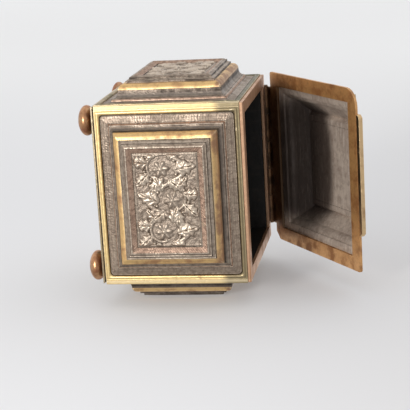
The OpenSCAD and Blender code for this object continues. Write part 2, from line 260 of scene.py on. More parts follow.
def tarnish_group():
    """Blotches of irregular size: 0 where the metal is clean, 1 where it is dull."""
    tree, given, result = new_group(
        "tarnish_blotches",
        {"Vector": ("NodeSocketVector", None), "Size mm": ("NodeSocketFloat", 6.0), "Cover": ("NodeSocketFloat", 0.5)},
        {"Mask": "NodeSocketFloat"})
    scale = maths(tree, "DIVIDE", 1000.0, given["Size mm"])
    broad = add_node(tree, "ShaderNodeTexNoise", Vector=given["Vector"], Scale=scale, Detail=6.0, Roughness=0.62)
    shifted = maths(tree, "ADD", maths(tree, "SUBTRACT", broad.outputs["Fac"], 0.5), given["Cover"])
    plug(tree, result["Mask"], spread(tree, shifted, 0.38, 0.62))
    return tree


def beaten_group():
    """The height of a surface beaten with small punches, as between the lines of a chased band."""
    tree, given, result = new_group(
        "beaten_surface",
        {"Vector": ("NodeSocketVector", None), "Size mm": ("NodeSocketFloat", 0.8)},
        {"Height": "NodeSocketFloat"})
    scale = maths(tree, "DIVIDE", 1000.0, given["Size mm"])
    wander = add_node(tree, "ShaderNodeTexNoise", Vector=given["Vector"], Scale=scale, Detail=3.0)
    dents = add_node(tree, "ShaderNodeTexVoronoi", {"feature": "SMOOTH_F1"}, Vector=given["Vector"], Scale=scale)
    height = maths(tree, "ADD", dents.outputs["Distance"], maths(tree, "MULTIPLY", wander.outputs["Fac"], 0.9))
    plug(tree, result["Height"], height)
    return tree


def scratch_group():
    """Long fine marks: 1 in a scratch. Stretch gives their run along X, Y and Z."""
    tree, given, result = new_group(
        "fine_scratches",
        {"Vector": ("NodeSocketVector", None), "Stretch": ("NodeSocketVector", (1, 1, 1)), "Size mm": ("NodeSocketFloat", 0.5)},
        {"Mask": "NodeSocketFloat"})
    scale = maths(tree, "DIVIDE", 1000.0, given["Size mm"])
    pulled = add_node(tree, "ShaderNodeVectorMath", {"operation": "MULTIPLY"})
    tree.links.new(given["Vector"], pulled.inputs[0])
    tree.links.new(given["Stretch"], pulled.inputs[1])
    lines = add_node(tree, "ShaderNodeTexNoise", Vector=pulled.outputs[0], Scale=scale, Detail=4.0, Roughness=0.7)
    plug(tree, result["Mask"], spread(tree, lines.outputs["Fac"], 0.52, 0.68))
    return tree


TARNISH = tarnish_group()
BEATEN = beaten_group()
SCRATCHES = scratch_group()


# %% [markdown]
# ## The metals
# Each metal mixes a bright and a dull colour by the tarnish mask, lightens worn edges, partly as a painted
# highlight, and roughens where it is dull. Pointiness finds the edges that a hand would rub, and the hollows
# that some materials darken.

# %% A base for every metal
def start_material(name, roughness, metallic):
    made = bpy.data.materials.new(name)
    made.use_nodes = True
    tree = made.node_tree
    shader = tree.nodes["Principled BSDF"]
    shader.inputs["Roughness"].default_value = roughness
    shader.inputs["Metallic"].default_value = metallic
    place = add_node(tree, "ShaderNodeTexCoord").outputs["Object"]
    return made, tree, shader, place


def raised(tree, low, high):
    """1 on raised edges and tops, 0 in hollows."""
    point = add_node(tree, "ShaderNodeNewGeometry").outputs["Pointiness"]
    return spread(tree, point, low, high)


def bump(tree, shader, height, depth_mm, strength=1.0):
    made = add_node(tree, "ShaderNodeBump", Height=height, Strength=strength, Distance=depth_mm * MM)
    tree.links.new(made.outputs[0], shader.inputs["Normal"])


MOUTH_END = (67 * MM, 72 * MM)
LID_OPEN = math.radians(35)
HINGE_AT = Vector(frame["joints"][0]["pos_m"])


def painted_shadow_in_lid(tree, place, middle_mm, half_mm, soft):
    """1 in a rounded patch of the lid's inside, placed by the distance from the hinge and from the middle: the patch
    where the case's shadow is painted.
    """
    from_hinge = add_node(tree, "ShaderNodeVectorMath", {"operation": "SUBTRACT"})
    tree.links.new(place, from_hinge.inputs[0])
    from_hinge.inputs[1].default_value = HINGE_AT
    out = add_node(tree, "ShaderNodeVectorMath", {"operation": "DOT_PRODUCT"})
    tree.links.new(from_hinge.outputs[0], out.inputs[0])
    out.inputs[1].default_value = (0, -math.cos(LID_OPEN), math.sin(LID_OPEN))
    aside = add_node(tree, "ShaderNodeSeparateXYZ", Vector=place).outputs["X"]
    far = maths(tree, "DIVIDE", maths(tree, "SUBTRACT", out.outputs["Value"], middle_mm * MM), half_mm[0] * MM)
    wide = maths(tree, "DIVIDE", aside, half_mm[1] * MM)
    power = maths(tree, "ADD", maths(tree, "POWER", maths(tree, "ABSOLUTE", far), 3.0),
                  maths(tree, "POWER", maths(tree, "ABSOLUTE", wide), 3.0))
    return spread(tree, power, 1 - soft, 1 + soft, 1.0, 0.0)


# Middle, half sizes and softness of the painted shadow of the case on the lid frame and in the lid's hollow.
SHADOW_ON_LID_FRAME = (12.0, (30.0, 41.0), 0.6)
SHADOW_IN_LID_HOLLOW = (26.0, (23.0, 33.0), 0.45)


def worn_metal(name, bright, dull, rough=(0.28, 0.5), metallic=1.0, cover=0.45, size=7.0,
               edge=(0.9, 0.75, 0.5), edge_at=(0.52, 0.6), edge_share=0.6, dent=0.06, dent_size=2.2, green=0.0, mouth=None, soot_and_shadow=0.0):
    """Brass, bronze or copper that hands have worn: the finish of rims, feet, frames and hinge.
    Worn edges are lightened, partly as a painted highlight, and the lid frame can take a painted shadow.
    """
    made, tree, shader, place = start_material(name, rough[0], metallic)
    mask = use_group(tree, TARNISH, Vector=place, Size_mm=size, Cover=cover)
    fine = use_group(tree, TARNISH, Vector=place, Size_mm=size / 6, Cover=cover - 0.08)
    dirty = maths(tree, "MAXIMUM", mask, maths(tree, "MULTIPLY", fine, 0.6))
    colour = mix_colour(tree, dirty, bright, dull)
    if green:
        verdigris = use_group(tree, TARNISH, Vector=place, Size_mm=size * 0.8, Cover=green)
        colour = mix_colour(tree, maths(tree, "MULTIPLY", verdigris, 0.7), colour, (0.23, 0.25, 0.17))
    if mouth:
        height = add_node(tree, "ShaderNodeSeparateXYZ", Vector=place).outputs["Z"]
        near_mouth = spread(tree, maths(tree, "ADD", height, maths(tree, "MULTIPLY", mask, 0.003)), *MOUTH_END)
        colour = mix_colour(tree, maths(tree, "MULTIPLY", near_mouth, 0.85), colour, mouth)
    # Worn edges, lightened also as a painted highlight.
    rubbed_and_highlit = maths(tree, "MULTIPLY", raised(tree, *edge_at), edge_share)
    colour = mix_colour(tree, rubbed_and_highlit, colour, edge)
    # Painted shadow: the lid frame is darkened where the case's shadow falls on it.
    if soot_and_shadow:
        colour = mix_colour(tree, maths(tree, "MULTIPLY", painted_shadow_in_lid(tree, place, *SHADOW_ON_LID_FRAME), soot_and_shadow), colour,
                            (0.045, 0.02, 0.011))
    plug(tree, shader.inputs["Base Color"], colour)
    plug(tree, shader.inputs["Roughness"], spread(tree, dirty, 0.0, 1.0, *rough))
    marks = use_group(tree, SCRATCHES, Vector=place, Stretch=(0.25, 1.0, 1.0), Size_mm=0.9)
    uneven = use_group(tree, BEATEN, Vector=place, Size_mm=dent_size)
    bump(tree, shader, maths(tree, "SUBTRACT", uneven, maths(tree, "MULTIPLY", marks, 0.35)), dent)
    return made


RIM_BRASS = worn_metal("rim_brass", (0.93, 0.70, 0.34), (0.58, 0.41, 0.21), rough=(0.42, 0.55), cover=0.33, dent=0.05,
                       mouth=(0.21, 0.175, 0.115))
RIM_OLIVE = worn_metal("rim_olive", (0.50, 0.38, 0.23), (0.27, 0.24, 0.15), rough=(0.42, 0.56), cover=0.5, dent=0.05,
                       mouth=(0.19, 0.18, 0.13))
GILT_BRASS = worn_metal("gilt_brass", (0.82, 0.55, 0.25), (0.47, 0.27, 0.14), rough=(0.43, 0.56), cover=0.45, dent=0.06,
                        mouth=(0.34, 0.20, 0.125))
FOOT_BRONZE = worn_metal("foot_bronze", (0.60, 0.33, 0.17), (0.36, 0.155, 0.085), rough=(0.33, 0.48), cover=0.48,
                         size=5.0, dent=0.04, green=0.36)
PLATE_BRASS = worn_metal("plate_brass", (0.46, 0.34, 0.22), (0.20, 0.15, 0.10), cover=0.5, green=0.45)
MOUTH_COPPER = worn_metal("mouth_copper", (0.50, 0.255, 0.125), (0.24, 0.115, 0.055), rough=(0.38, 0.55), cover=0.5,
                          metallic=0.8, edge=(0.74, 0.48, 0.32), green=0.3)
# The lid frame takes the painted shadow of the case.
LID_BRASS = worn_metal("lid_brass", (0.64, 0.335, 0.125), (0.33, 0.14, 0.045), rough=(0.36, 0.55), cover=0.46, size=9.0,
                       metallic=0.6, edge=(0.92, 0.72, 0.48), green=0.22, soot_and_shadow=0.85)
LIP_BRASS = worn_metal("lip_brass", (0.72, 0.50, 0.27), (0.44, 0.27, 0.14), rough=(0.3, 0.45), cover=0.42)
HINGE_BRONZE = worn_metal("hinge_bronze", (0.20, 0.11, 0.06), (0.07, 0.04, 0.025), rough=(0.4, 0.6), cover=0.5,
                          edge=(0.45, 0.30, 0.18))
SHELL_PATINA = worn_metal("shell_patina", (0.075, 0.06, 0.045), (0.03, 0.025, 0.02), rough=(0.5, 0.7), metallic=0.6,
                          edge=(0.16, 0.13, 0.09))


def blackened_sheet():
    """The liner: sheet metal under soot and old lacquer, with a brown cast where it is rubbed."""
    made, tree, shader, place = start_material("liner_black", 0.55, 0.0)
    mask = use_group(tree, TARNISH, Vector=place, Size_mm=14.0, Cover=0.42)
    streaks = use_group(tree, SCRATCHES, Vector=place, Stretch=(1.0, 1.0, 0.12), Size_mm=1.4)
    soot_and_shadow = mix_colour(tree, mask, (0.006, 0.005, 0.004), (0.022, 0.014, 0.009))
    plug(tree, shader.inputs["Base Color"], mix_colour(tree, maths(tree, "MULTIPLY", streaks, 0.25), soot_and_shadow, (0.05, 0.035, 0.025)))
    bump(tree, shader, use_group(tree, BEATEN, Vector=place, Size_mm=3.0), 0.1)
    return made


LINER_BLACK = blackened_sheet()

# %% [markdown]
# ## The pressed panel's profile
# The panel was pressed in one sheet: a hammered band, a bead, a hollow curve, a seat for the gilt
# moulding, small steps, a granular border and a ledge for the plaque. A face that is inset again and
# again, each time a little further in and up, gives these mitred steps with no list of points. Each
# stretch of the profile is a row of small (inset, rise) steps.

# %% The profile's stretches, in millimetres
RIM_W = 2.55
RIM_RISE = 0.9
SEAM = 0.25
SHEET_T = 0.7
BAND = (4.2, 0.9)
BEAD = (1.0, 1.3)
COVE = (2.2, 3.9)
GILT = (3.3, 2.9)
GILT_BULGE = 0.9
STEP = (1.65, 1.55)
STEP_COUNT = 2
RIDGE_W = 0.35
BORDER = (2.65, -1.45)
PLAQUE_SINK = 0.3
PLAQUE_T = 0.5
PLAQUE_FIT = 0.15
LEDGE_W = 2.0
SHARP = 0.06


def ramp(size, count):
    return [(size[0] / count, size[1] / count)] * count


def curve(size, count, convex):
    """A quarter round (convex) or a hollow (not convex) as equal turns of a right angle."""
    place = [(0.0, 0.0)]
    for i in range(1, count + 1):
        a = math.pi / 2 * i / count
        inset, rise = (1 - math.cos(a), math.sin(a)) if convex else (math.sin(a), 1 - math.cos(a))
        place.append((size[0] * inset, size[1] * rise))
    return [(b[0] - a[0], b[1] - a[1]) for a, b in zip(place, place[1:])]


def thread_line(width, rise):
    """A fine raised line: up, along and down again."""
    return [(width * 0.3, rise), (width * 0.4, 0.0), (width * 0.3, -rise)]


def small_step():
    """A riser, a tread with a fine raised lip, and the rest of the climb."""
    lip = 0.12
    return [(SHARP, STEP[1] * 0.62), (0.3, lip), (0.3, -lip), (STEP[0] - 0.6 - SHARP, STEP[1] * 0.38)]


def outer_profile():
    line_w = 0.5
    band_middle = (BAND[0] - 2 * line_w, BAND[1])
    return (thread_line(line_w, 0.16) + ramp(band_middle, 9) + thread_line(line_w, 0.16)
            + curve(BEAD, 5, True) + curve(COVE, 7, False) + ramp(GILT, 2) + small_step() * STEP_COUNT
            + [(RIDGE_W, 0.0)] + ramp(BORDER, 9) + [(SHARP, -PLAQUE_SINK - PLAQUE_T), (LEDGE_W - SHARP, 0.0)])


print("outer profile steps:", len(outer_profile()))


# %% [markdown]
# ## From a flat face to a stepped ring
# inset_individual keeps the middle face and puts a ring of new faces round it, so a row of insets grows
# the profile from outside in. The middle face is deleted at the end. Two such rings, one for the outside
# and one for the inside of the sheet, are bridged along their free edges, and that closes the shell.

# %% Rings and shells
def stepped_ring(bm, size, start, profile):
    """Grows a mitred ring in millimetres. start is the (inset, height) of its outer edge.
    Returns the free edges outside and inside."""
    made = bmesh.ops.create_grid(bm, x_segments=1, y_segments=1, size=0.5)
    wide = (size[0] - 2 * start[0], size[1] - 2 * start[0], 1)
    bmesh.ops.scale(bm, verts=made["verts"], vec=wide)
    bmesh.ops.translate(bm, verts=made["verts"], vec=(0, 0, start[1]))
    middle = made["verts"][0].link_faces[0]
    outside = list(middle.edges)
    for inset, rise in profile:
        bmesh.ops.inset_individual(bm, faces=[middle], thickness=inset, depth=rise, use_even_offset=True)
    inside = list(middle.edges)
    bmesh.ops.delete(bm, geom=[middle], context="FACES_ONLY")
    return outside, inside


def runs_along(edge):
    """True for an edge that runs along one side of the rectangle, false for one on a mitre or a riser."""
    way = edge.verts[1].co - edge.verts[0].co
    return (abs(way.x) > 1 and abs(way.y) < 0.01) or (abs(way.y) > 1 and abs(way.x) < 0.01)


def split_along(bm, spacing):
    """Cuts the long runs into short ones, so that the piece can be bent a little by hand."""
    long_edges = [e for e in bm.edges if runs_along(e)]
    cuts = round(max(e.calc_length() for e in long_edges) / spacing) - 1
    bmesh.ops.subdivide_edges(bm, edges=long_edges, cuts=cuts, use_grid_fill=True)


def mark_inset(bm, size):
    """Keeps each point's distance in from the rectangle, in millimetres, for the materials."""
    layer = bm.verts.layers.float.new("inset")
    for v in bm.verts:
        v[layer] = min(size[0] / 2 - abs(v.co.x), size[1] / 2 - abs(v.co.y))
    return layer


CORNER_R = 1.7


def round_the_corners(bm, size, layer, start, end, fade):
    """Rounds the mitred corners. The radius grows from 0 at start to CORNER_R at end, and fades to 0 at fade."""
    for v in bm.verts:
        inset = v[layer]
        radius = CORNER_R * max(0.0, min(1.0, (inset - start) / (end - start), (fade - inset) / (fade - end)))
        if radius < 0.05:
            continue
        off_x = size[0] / 2 - inset - abs(v.co.x)
        off_y = size[1] / 2 - inset - abs(v.co.y)
        along = max(off_x, off_y)
        if along >= radius:
            continue
        turned = math.pi / 4 * (1 - along / radius)
        near, far = radius * (1 - math.sin(turned)), radius * (1 - math.cos(turned))
        new_x, new_y = (near, far) if off_x > off_y else (far, near)
        v.co.x = math.copysign(size[0] / 2 - inset - new_x, v.co.x)
        v.co.y = math.copysign(size[1] / 2 - inset - new_y, v.co.y)


BAND_AT = RIM_W + SEAM
BEAD_AT = BAND_AT + BAND[0]
COVE_AT = BEAD_AT + BEAD[0]
GILT_AT = COVE_AT + COVE[0]
STEPS_AT = GILT_AT + GILT[0]
RIDGE_AT = STEPS_AT + STEP_COUNT * STEP[0]
PLAQUE_AT = RIDGE_AT + RIDGE_W + BORDER[0]
GILT_H = BAND[1] + BEAD[1] + COVE[1]
RIDGE_H = GILT_H + GILT[1] + STEP_COUNT * STEP[1]
LEDGE_H = RIDGE_H + BORDER[1] - PLAQUE_SINK - PLAQUE_T


def bend_by_hand(bm, layer, seed, aside=0.16, down=0.3):
    """Old thin sheet is never quite straight: the lines wander a little and sag in places.
    The seats at the rim and round the plaque stay true."""
    away = Vector((seed * 17.3, seed * 9.1, 0))
    for v in bm.verts:
        inset = v[layer]
        free = max(0.0, min(1.0, (inset - BAND_AT) / 5.0, (PLAQUE_AT - inset) / 4.0))
        at = Vector((v.co.x, v.co.y, 0)) + away
        wander = noise.noise_vector(at * 0.09) * aside + noise.noise_vector(at * 0.3) * aside * 0.3
        sag = (0.5 + 0.5 * noise.noise(at * 0.07 + Vector((0, 0, 5)))) * down
        v.co += Vector((wander.x * free, wander.y * free, -sag * free))


def finish_piece(name, bm, place, materials, body, slot, *nodes, sharp=32):
    """Turns a bmesh in millimetres into a piece in the model's frame that rides on a body."""
    bmesh.ops.transform(bm, matrix=place @ Matrix.Scale(MM, 4), verts=bm.verts)
    mesh = bpy.data.meshes.new(name)
    bm.to_mesh(mesh)
    bm.free()
    mesh.shade_smooth()
    mesh.set_sharp_from_angle(angle=math.radians(sharp))
    for material in materials:
        mesh.materials.append(material)
    piece = bpy.data.objects.new(name, mesh)
    bpy.context.collection.objects.link(piece)
    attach(piece, body)
    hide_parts(*nodes)
    print(name, "faces:", len(mesh.polygons))
    return piece


# %% [markdown]
# ## Where the panels stand
# Each side is drawn flat, with X to the viewer's right, Y up and Z out of the face, and is then stood
# against the case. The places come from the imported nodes' boxes and from the hinge's axis.

# %% Places of the four sides and the lid
def middle_of(node):
    low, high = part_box(node)
    return (Vector(low) + Vector(high)) / 2


def size_of(node):
    low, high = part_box(node)
    return Vector(high) - Vector(low)


mouth = size_of("mouth_frame")
field_z = middle_of("front_rim").z
SIDE_SIZE = {
    "front": (size_of("front_rim").x / MM, size_of("front_rim").z / MM),
    "right": (size_of("right_rim").y / MM, size_of("right_rim").z / MM),
    "back": (size_of("back_rim").x / MM, size_of("back_rim").z / MM),
    "left": (size_of("left_rim").y / MM, size_of("left_rim").z / MM),
}


def side_place(turn, reach):
    stand = Matrix.Rotation(math.radians(90), 4, "X")
    out = Matrix.Translation((0, -reach, field_z))
    return Matrix.Rotation(math.radians(turn), 4, "Z") @ out @ stand


SIDES = {
    "front": side_place(0, mouth.y / 2),
    "right": side_place(90, mouth.x / 2),
    "back": side_place(180, mouth.y / 2),
    "left": side_place(270, mouth.x / 2),
}

LID_BACK = 5.4
LID_D = 86.1
LID_W = 92.8
LID_LOW = 0.1
LID_T = 1.3
LID_MARGIN = 3.0
on_hinge = Matrix.Translation(HINGE_AT) @ Matrix.Rotation(-LID_OPEN, 4, "X")
SIDES["lid"] = on_hinge @ Matrix.Translation(
    Vector((0, -LID_BACK - LID_D / 2, LID_LOW + LID_T + SHEET_T)) * MM)
SIDE_SIZE["lid"] = (LID_W - 2 * LID_MARGIN, LID_D - 2 * LID_MARGIN)
BODY = {side: "lid" if side == "lid" else "case" for side in SIDES}
print("sizes:", {side: tuple(round(s, 1) for s in size) for side, size in SIDE_SIZE.items()})


# %% [markdown]
# ## The silvered pressing
# The sheet is brass under worn silvering, so it is grey where the silver holds and coppery on the bead and
# the granular border. It is darker in the cove and in the hollows, painted shade darkens its creases, and
# its raised lines are lightened as wear and as a painted highlight. The inset that each point carries tells
# the material which stretch of the profile it is on, so the bands turn the corners with the metal.

# %% Material of the pressed panels
def inset_band(tree, inset, start, end, soft=0.15):
    """1 between two insets, with soft ends."""
    rise = spread(tree, inset, start - soft, start + soft)
    fall = spread(tree, inset, end - soft, end + soft, 1.0, 0.0)
    return maths(tree, "MULTIPLY", rise, fall)


def lines_at(tree, inset, lines):
    """Thin lines along the profile, each (inset, half width), joined in one mask."""
    mask = None
    for at, half in lines:
        line = inset_band(tree, inset, at - half, at + half, half)
        mask = line if mask is None else maths(tree, "MAXIMUM", mask, line)
    return mask


def silvered_pressing():
    made, tree, shader, place = start_material("silvered_pressing", 0.42, 0.85)
    inset = add_node(tree, "ShaderNodeAttribute", {"attribute_name": "inset"}).outputs["Fac"]
    broad = use_group(tree, TARNISH, Vector=place, Size_mm=9.0, Cover=0.5)
    fine = use_group(tree, TARNISH, Vector=place, Size_mm=1.6, Cover=0.47)
    silver = mix_colour(tree, fine, (0.43, 0.34, 0.265), (0.26, 0.195, 0.15))
    silver = mix_colour(tree, maths(tree, "MULTIPLY", broad, 0.45), silver, (0.19, 0.15, 0.12))
    copper = mix_colour(tree, fine, (0.56, 0.37, 0.27), (0.32, 0.20, 0.145))
    bead = inset_band(tree, inset, BEAD_AT - 0.1, BEAD_AT + 0.55)
    border = inset_band(tree, inset, RIDGE_AT + 0.5, PLAQUE_AT)
    warm = maths(tree, "MAXIMUM", maths(tree, "MULTIPLY", bead, 0.8), maths(tree, "MULTIPLY", border, 0.75))
    colour = mix_colour(tree, warm, silver, copper)
    cove = inset_band(tree, inset, COVE_AT + 0.9, GILT_AT - 0.1, 0.4)
    colour = mix_colour(tree, maths(tree, "MULTIPLY", cove, 0.6), colour, (0.175, 0.155, 0.14))
    spots = use_group(tree, TARNISH, Vector=place, Size_mm=2.6, Cover=0.33)
    colour = mix_colour(tree, maths(tree, "MULTIPLY", spots, 0.5), colour, (0.27, 0.28, 0.19))
    # Painted shade: dark lines in the creases of the profile and at the plaque's edge, where shade falls.
    crease_shade = lines_at(tree, inset, SHADED_CREASES)
    colour = mix_colour(tree, maths(tree, "MULTIPLY", crease_shade, spread(tree, broad, 0.0, 1.0, 0.65, 0.95)), colour,
                        (0.045, 0.034, 0.028))
    # Darker in the hollows that pointiness finds.
    hollow_dark = raised(tree, 0.49, 0.42)
    colour = mix_colour(tree, maths(tree, "MULTIPLY", hollow_dark, 0.85), colour, (0.05, 0.038, 0.03))
    # The raised tops and the listed lines are lightened, as wear and as a painted highlight.
    tops = maths(tree, "MAXIMUM", raised(tree, 0.515, 0.58), lines_at(tree, inset, WORN_AND_HIGHLIT_LINES))
    light = mix_colour(tree, warm, (0.68, 0.58, 0.47), (0.76, 0.55, 0.41))
    colour = mix_colour(tree, maths(tree, "MULTIPLY", tops, spread(tree, fine, 0.0, 1.0, 0.85, 0.4)), colour, light)
    plug(tree, shader.inputs["Base Color"], colour)
    plug(tree, shader.inputs["Roughness"], spread(tree, broad, 0.0, 1.0, 0.4, 0.56))
    beaten = use_group(tree, BEATEN, Vector=place, Size_mm=0.75)
    bump(tree, shader, maths(tree, "MULTIPLY", beaten, spread(tree, border, 0.0, 1.0, 0.5, 1.0)), 0.16)
    return made


def pressing_inside():
    """The back of the lid's pressing: bare, dull and brown, brushed along its length by use, with the case's shadow
    painted on it.
    """
    made, tree, shader, place = start_material("pressing_inside", 0.5, 0.2)
    broad = use_group(tree, TARNISH, Vector=place, Size_mm=26.0, Cover=0.5)
    fine = use_group(tree, TARNISH, Vector=place, Size_mm=3.0, Cover=0.45)
    brown = mix_colour(tree, fine, (0.56, 0.46, 0.38), (0.38, 0.30, 0.245))
    colour = mix_colour(tree, maths(tree, "MULTIPLY", broad, 0.6), brown, (0.24, 0.175, 0.14))
    streaks = use_group(tree, SCRATCHES, Vector=place, Stretch=(0.10, 1.0, 1.0), Size_mm=1.1)
    colour = mix_colour(tree, maths(tree, "MULTIPLY", streaks, 0.5), colour, (0.74, 0.65, 0.56))
    # Painted shadow: where the case's shadow falls in the lid's hollow, the brown is painted near black.
    soot_and_shadow = painted_shadow_in_lid(tree, place, *SHADOW_IN_LID_HOLLOW)
    shadowed_brown = mix_colour(tree, streaks, (0.035, 0.022, 0.017), (0.075, 0.05, 0.038))
    colour = mix_colour(tree, maths(tree, "MULTIPLY", soot_and_shadow, 0.9), colour, shadowed_brown)
    plug(tree, shader.inputs["Base Color"], colour)
    plug(tree, shader.inputs["Roughness"], spread(tree, broad, 0.0, 1.0, 0.38, 0.6))
    beaten = use_group(tree, BEATEN, Vector=place, Size_mm=2.6)
    bump(tree, shader, maths(tree, "SUBTRACT", beaten, maths(tree, "MULTIPLY", streaks, 0.3)), 0.16)
    return made


# Insets and half widths of the dark lines painted as shade in the creases.
SHADED_CREASES = [(BAND_AT + 0.05, 0.16), (BEAD_AT - 0.45, 0.1), (COVE_AT + 0.1, 0.2), (GILT_AT - 0.15, 0.16),
           (STEPS_AT + 0.08, 0.14), (STEPS_AT + STEP[0] + 0.05, 0.12), (PLAQUE_AT + 0.05, 0.14)]
# Insets and half widths of the lines lightened as wear and as a painted highlight.
WORN_AND_HIGHLIT_LINES = [(BAND_AT + 0.32, 0.07), (BEAD_AT - 0.2, 0.07), (BEAD_AT + 0.75, 0.1), (STEPS_AT + 0.4, 0.1),
              (STEPS_AT + STEP[0] + 0.4, 0.1), (RIDGE_AT + 0.15, 0.14)]
SILVERED = silvered_pressing()
INSIDE = pressing_inside()

# %% [markdown]
# ## Rims, panels and mouldings
# The three pieces of each side share one rectangle, so they are made by the same ring and bent by the
# same hand: where the panel sags, the moulding on it sags as much.

# %% Rims
def rim_profile():
    """Up the outer face, a fine bead, a shallow groove, a broad convex face, and down to the seam."""
    bead_w, bead_h, groove_h, low = 0.28 * RIM_W, 0.66 * RIM_RISE, 0.56 * RIM_RISE, 0.3 * RIM_RISE
    face = RIM_W - bead_w - SHARP
    place = [(0.0, -SHEET_T), (SHARP, groove_h), (bead_w / 2, bead_h), (bead_w, groove_h)]
    for i in range(1, 9):
        t = i / 8
        arch = math.sin(math.pi * (0.12 + 0.76 * t)) ** 0.7
        foot = groove_h * (1 - t) + low * t
        place.append((bead_w + face * t, foot + (RIM_RISE - foot) * arch * min(1, 4 * t, 6 * (1 - t))))
    place.append((RIM_W, -SHEET_T))
    return [(b[0] - a[0], b[1] - a[1]) for a, b in zip(place, place[1:])]


def make_rim(side, seed):
    bm = bmesh.new()
    outside, inside = stepped_ring(bm, SIDE_SIZE[side], (0.0, -SHEET_T), rim_profile())
    bmesh.ops.bridge_loops(bm, edges=outside + inside)
    split_along(bm, 0.6)
    layer = mark_inset(bm, SIDE_SIZE[side])
    round_the_corners(bm, SIDE_SIZE[side], layer, RIM_W / 2, RIM_W, RIM_W + 1)
    away = Vector((seed * 5.7, seed * 3.1, 0))
    for v in bm.verts:
        at = Vector((v.co.x, v.co.y, 0)) + away
        sag = 0.5 + 0.5 * noise.noise(at * 0.11)
        top = max(0.0, v.co.z) / RIM_RISE
        v.co.z -= 0.18 * sag * top
        v.co += Vector((0, 0, 0.05)) * min(0.0, noise.noise(at * 0.4)) * top
    bmesh.ops.recalc_face_normals(bm, faces=bm.faces)
    finish = RIM_OLIVE if side == "left" else RIM_BRASS
    finish_piece(f"{side}_brass_rim", bm, SIDES[side], [finish], BODY[side], "rim_brass", f"{side}_rim")


# %% Pressed panels
LINE_RISE = 0.06
LEAF_RUN = 1.35
LEAF_RISE = 0.06
GRAIN_RUN = 1.2
GRAIN_RISE = 0.13


def inner_profile():
    """The inside of the sheet follows the outside one thickness below, with softer steps."""
    fall = BORDER[1] - PLAQUE_SINK - PLAQUE_T
    return ([(SHEET_T, SHARP), (BAND[0], BAND[1] - SHARP)] + curve(BEAD, 2, True) + curve(COVE, 4, False)
            + [GILT, (STEP_COUNT * STEP[0], STEP_COUNT * STEP[1]), (RIDGE_W + BORDER[0] - 2 * SHEET_T, fall),
               (SHEET_T + LEDGE_W, 0.0)])


def chase_the_bands(bm, size, inset_layer, seed):
    """Punches the outer band with leaves in a row, and the border round the plaque with grains."""
    middle, half = BAND_AT + BAND[0] / 2, BAND[0] / 2 - 0.5
    border_middle, border_half = (RIDGE_AT + RIDGE_W + PLAQUE_AT) / 2, BORDER[0] / 2
    away = Vector((seed * 3.3, seed * 8.9, 0))
    for v in bm.verts:
        if not v.link_faces or v.link_faces[0].material_index:
            continue
        inset = v[inset_layer]
        on_long_run = size[1] / 2 - abs(v.co.y) < size[0] / 2 - abs(v.co.x)
        run = v.co.x if on_long_run else v.co.y
        at = Vector((v.co.x, v.co.y, 0)) + away
        across = (inset - middle) / half
        if abs(across) < 1:
            lines = math.cos(2 * math.pi * 1.25 * across + 0.9 * noise.noise(at * 0.4))
            leaf = math.cos(2 * math.pi * (run / LEAF_RUN - 0.4 * abs(across)) + 1.5 * noise.noise(at * 0.3))
            worn = 0.6 + 0.7 * noise.noise(at * 0.22)
            v.co.z += (LINE_RISE * lines + LEAF_RISE * worn * leaf) * (1 - across ** 4) + 0.07 * noise.noise(at * 1.7)
        across = (inset - border_middle) / border_half
        if abs(across) < 1:
            grain = math.cos(2 * math.pi * run / GRAIN_RUN) * math.cos(2 * math.pi * inset / GRAIN_RUN)
            v.co.z += GRAIN_RISE * grain * (1 - across ** 4) + 0.06 * noise.noise(at * 1.1)


def make_panel(side, seed):
    bm = bmesh.new()
    size = SIDE_SIZE[side]
    outside, hole = stepped_ring(bm, size, (BAND_AT, 0.0), outer_profile())
    outer_faces = list(bm.faces)
    outside_below, hole_below = stepped_ring(bm, size, (BAND_AT, -SHEET_T), inner_profile())
    inner_faces = [f for f in bm.faces if f not in set(outer_faces)]
    bmesh.ops.reverse_faces(bm, faces=inner_faces)
    for face in inner_faces:
        face.material_index = 1
    bmesh.ops.bridge_loops(bm, edges=outside + outside_below)
    bmesh.ops.bridge_loops(bm, edges=hole + hole_below)
    split_along(bm, 0.35)
    layer = mark_inset(bm, size)
    chase_the_bands(bm, size, layer, seed)
    round_the_corners(bm, size, layer, BAND_AT - 1, BAND_AT, COVE_AT)
    bend_by_hand(bm, layer, seed)
    bmesh.ops.recalc_face_normals(bm, faces=bm.faces)
    finish_piece(f"{side}_pressed_panel", bm, SIDES[side], [SILVERED, INSIDE], BODY[side], "silvered_pressing",
                 f"{side}_panel")


# %% Gilt mouldings
def gilt_profile():
    """A shallow arch over the seat, as small steps."""
    span = Vector(GILT)
    out = Vector((-span.y, span.x)).normalized() * GILT_BULGE
    count = 10
    place = [span * (i / count) + out * 4 * (i / count) * (1 - i / count) for i in range(count + 1)]
    return [(b.x - a.x, b.y - a.y) for a, b in zip(place, place[1:])]


def make_moulding(side, seed):
    bm = bmesh.new()
    size = SIDE_SIZE[side]
    outside, inside = stepped_ring(bm, size, (GILT_AT, GILT_H), gilt_profile())
    bmesh.ops.bridge_loops(bm, edges=outside + inside)
    split_along(bm, 1.0)
    layer = mark_inset(bm, size)
    bend_by_hand(bm, layer, seed)
    bmesh.ops.recalc_face_normals(bm, faces=bm.faces)
    finish_piece(f"{side}_gilt_moulding", bm, SIDES[side], [GILT_BRASS], BODY[side], "gilt_brass", f"{side}_molding")


for seed, side in enumerate(SIDES, start=1):
    make_rim(side, seed)
    make_panel(side, seed)
    make_moulding(side, seed)

# %% [markdown]
# ## The relief plaques
# Each plaque is a thin sheet with foliage beaten up from behind. Sculpting it by hand can't be repeated,
# and single leaf meshes would look laid on, so a fine grid is raised by one height function: leaves,
# stems, flowers and berries are each a small hill with its own veins, the highest hill wins at each
# point, and the ground between them is hammered. Every side has its own branch.

